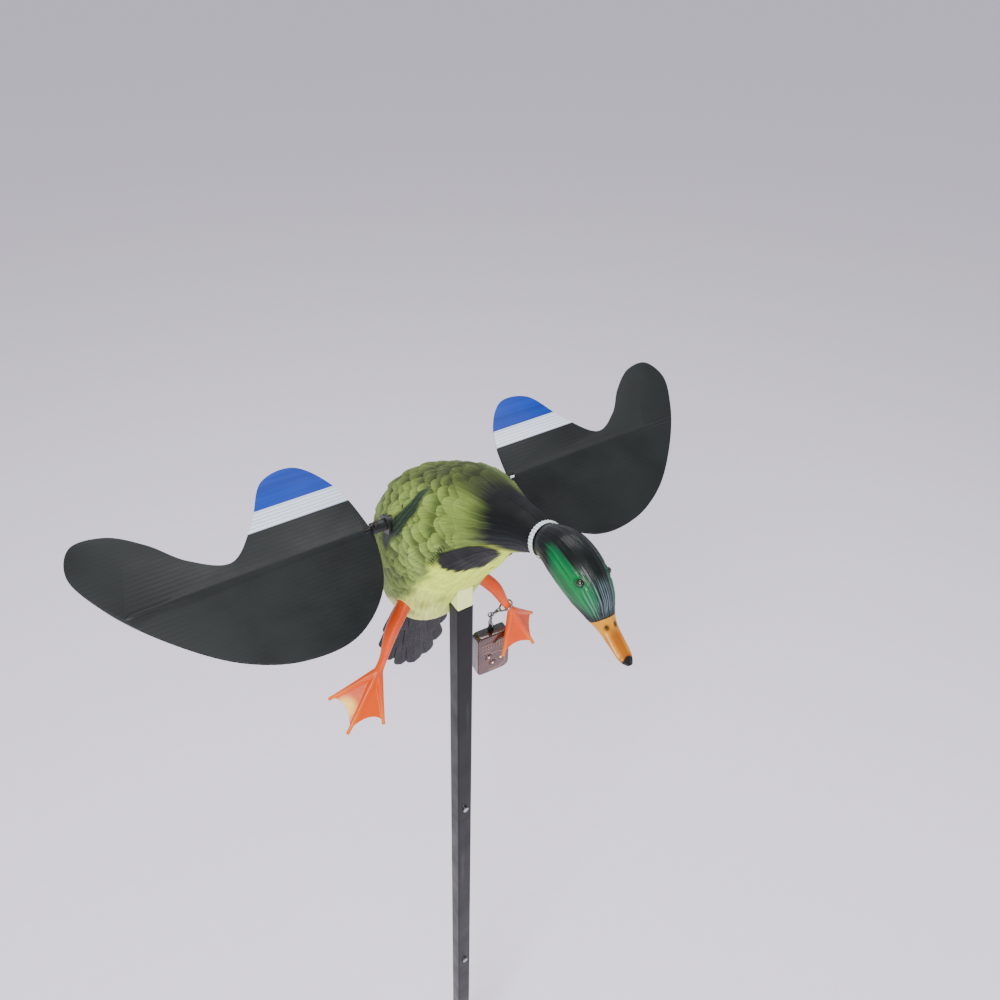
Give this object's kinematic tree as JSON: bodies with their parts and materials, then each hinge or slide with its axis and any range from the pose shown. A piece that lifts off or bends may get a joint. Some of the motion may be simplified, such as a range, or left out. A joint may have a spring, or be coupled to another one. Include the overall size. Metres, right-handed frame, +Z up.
{
  "type": "motorised duck decoy",
  "caption": "Drake duck decoy with motor-driven spinning wings, set on a square ground-stake pole, with a clip-on radio remote.",
  "frame": {"origin": "on the pole's axis at the ground line, where the stake enters the soil", "axes": "+Z up along the pole, -Y the way the duck faces, +X to the duck's left"},
  "size_m": [0.674, 0.3597, 1.2772],
  "materials": {
    "shell_green": "moulded feather relief, painted",
    "head_green": "painted emerald over dark green",
    "ring_white": "satin",
    "eye_black": "gloss",
    "bill_yellow": "satin, brown shading",
    "tail_black": "gloss",
    "leg_orange": "gloss",
    "wing_sheet": "printed fluted sheet",
    "pole_black": "satin black coat",
    "black_plastic": "satin",
    "steel": "drawn",
    "zinc": "gunmetal plate",
    "brass": "machined",
    "nylon": "as moulded",
    "circuit_board": "solder mask",
    "cell_jacket": "plain printed jacket",
    "smoked_brown": "smoked translucent, gloss",
    "remote_black": "gloss",
    "led_amber": "clear amber"
  },
  "bodies": {
    "pole": {"pole_lower": "pole_black", "pole_middle": "pole_black", "pole_upper": "pole_black"},
    "snap_button_upper": {"snap_button_upper": "zinc"},
    "snap_button_lower": {"snap_button_lower": "zinc"},
    "duck": {"pole_boss": "shell_green", "body_shell_left": "shell_green", "body_shell_right": "shell_green", "head_shell": "head_green", "eye_left": "eye_black", "eye_right": "eye_black", "bill": "bill_yellow", "neck_ring": "ring_white", "tail_fan": "tail_black", "leg_right": "leg_orange", "leg_left": "leg_orange", "bush_left": "black_plastic", "bush_right": "black_plastic", "motor_can": "zinc", "chassis": "black_plastic", "belly_screw_front": "zinc", "belly_screw_rear": "zinc", "flank_screw_left": "zinc", "flank_screw_right": "zinc", "battery_box": "black_plastic", "cell_1": "cell_jacket", "cell_2": "cell_jacket", "cell_3": "cell_jacket", "cell_4": "cell_jacket", "receiver_board": "circuit_board", "hatch_pin": "steel", "switch_housing": "black_plastic"},
    "wing_set": {"wing_axle": "steel", "drive_gear": "nylon", "wing_hub_left": "black_plastic", "wing_hub_right": "black_plastic", "hub_screw_left": "zinc", "hub_screw_right": "zinc", "wing_rod_left": "steel", "wing_rod_right": "steel", "wing_left": "wing_sheet", "wing_right": "wing_sheet"},
    "motor_rotor": {"motor_pinion": "brass"},
    "battery_hatch": {"battery_hatch": "shell_green"},
    "power_rocker": {"power_rocker": "remote_black"},
    "clasp": {"clasp_body": "zinc"},
    "clasp_lever": {"clasp_lever": "zinc"},
    "swivel": {"swivel_eye": "zinc"},
    "key_ring": {"key_ring": "zinc"},
    "key_link": {"key_link": "zinc"},
    "remote": {"remote_back_shell": "remote_black", "remote_front_cover": "smoked_brown", "remote_led": "led_amber", "remote_board": "circuit_board", "remote_cell": "steel"},
    "remote_button_call": {"remote_button_call": "remote_black"},
    "remote_button_stop": {"remote_button_stop": "remote_black"},
    "remote_antenna": {"remote_antenna": "steel"}
  },
  "joints": [
    {"name": "snap_button_upper_press", "type": "slide", "parent": "pole", "child": "snap_button_upper", "axis": [0, 1, 0], "range_m": [0, 0.0022], "stiffness_N_per_m": 1500, "springref_m": -0.001},
    {"name": "snap_button_lower_press", "type": "slide", "parent": "pole", "child": "snap_button_lower", "axis": [0, 1, 0], "range_m": [0, 0.0022], "stiffness_N_per_m": 1500, "springref_m": -0.001},
    {"name": "duck_lift", "type": "slide", "parent": "pole", "child": "duck", "axis": [0, 0, 1], "range_m": [0, 0.046]},
    {"name": "wing_spin", "type": "hinge", "parent": "duck", "child": "wing_set", "pos_m": [0, 0.036, 0.975], "axis": [1, 0, 0], "continuous": true},
    {"name": "motor_spin", "type": "hinge", "parent": "duck", "child": "motor_rotor", "pos_m": [0.02, 0.01548, 0.95746], "axis": [1, 0, 0], "continuous": true},
    {"name": "battery_hatch_open", "type": "hinge", "parent": "duck", "child": "battery_hatch", "pos_m": [0, 0.11726, 0.87172], "axis": [-1, 0, 0], "range_deg": [0, 110]},
    {"name": "power_rocker_tip", "type": "hinge", "parent": "duck", "child": "power_rocker", "pos_m": [0, 0.11487, 0.84904], "axis": [-1, 0, 0], "range_deg": [0, 14]},
    {"name": "clasp_swing", "type": "hinge", "parent": "duck", "child": "clasp", "pos_m": [0.07456, 0.02392, 0.80828], "axis": [0.4978, -0.1757, -0.8493], "range_deg": [-0.4, 5]},
    {"name": "clasp_lever_press", "type": "hinge", "parent": "clasp", "child": "clasp_lever", "pos_m": [0.07287, 0.03088, 0.80585], "axis": [0.4978, -0.1757, -0.8493], "range_deg": [0, 2], "stiffness_Nm_per_rad": 0.01, "springref_deg": -5.73},
    {"name": "swivel_turn", "type": "hinge", "parent": "clasp", "child": "swivel", "pos_m": [0.05734, 0.03, 0.79693], "axis": [0.8009, -0.2827, 0.5279], "range_deg": [-0.4, 5]},
    {"name": "key_ring_swing", "type": "hinge", "parent": "swivel", "child": "key_ring", "pos_m": [0.05734, 0.03, 0.79383], "axis": [0.7193, -0.6947, 0], "range_deg": [-0.4, 6]},
    {"name": "key_link_swing", "type": "hinge", "parent": "key_ring", "child": "key_link", "pos_m": [0.05734, 0.03, 0.78473], "axis": [0.9848, 0.1736, 0], "range_deg": [-0.4, 6]},
    {"name": "remote_swing", "type": "hinge", "parent": "key_link", "child": "remote", "pos_m": [0.05734, 0.03, 0.77678], "axis": [0.0698, 0.9976, 0], "range_deg": [-8, 8]},
    {"name": "remote_button_call_press", "type": "slide", "parent": "remote", "child": "remote_button_call", "axis": [0.0698, 0.9976, 0], "range_m": [0, 0.0006], "stiffness_N_per_m": 900, "springref_m": -0.0006},
    {"name": "remote_button_stop_press", "type": "slide", "parent": "remote", "child": "remote_button_stop", "axis": [0.0698, 0.9976, 0], "range_m": [0, 0.0006], "stiffness_N_per_m": 900, "springref_m": -0.0006},
    {"name": "remote_antenna_pull", "type": "slide", "parent": "remote", "child": "remote_antenna", "axis": [0, 0, -1], "range_m": [0, 0.04]}
  ],
  "couplings": [
    {"joint": "motor_spin", "follows": "wing_spin", "ratio": -3.5}
  ]
}
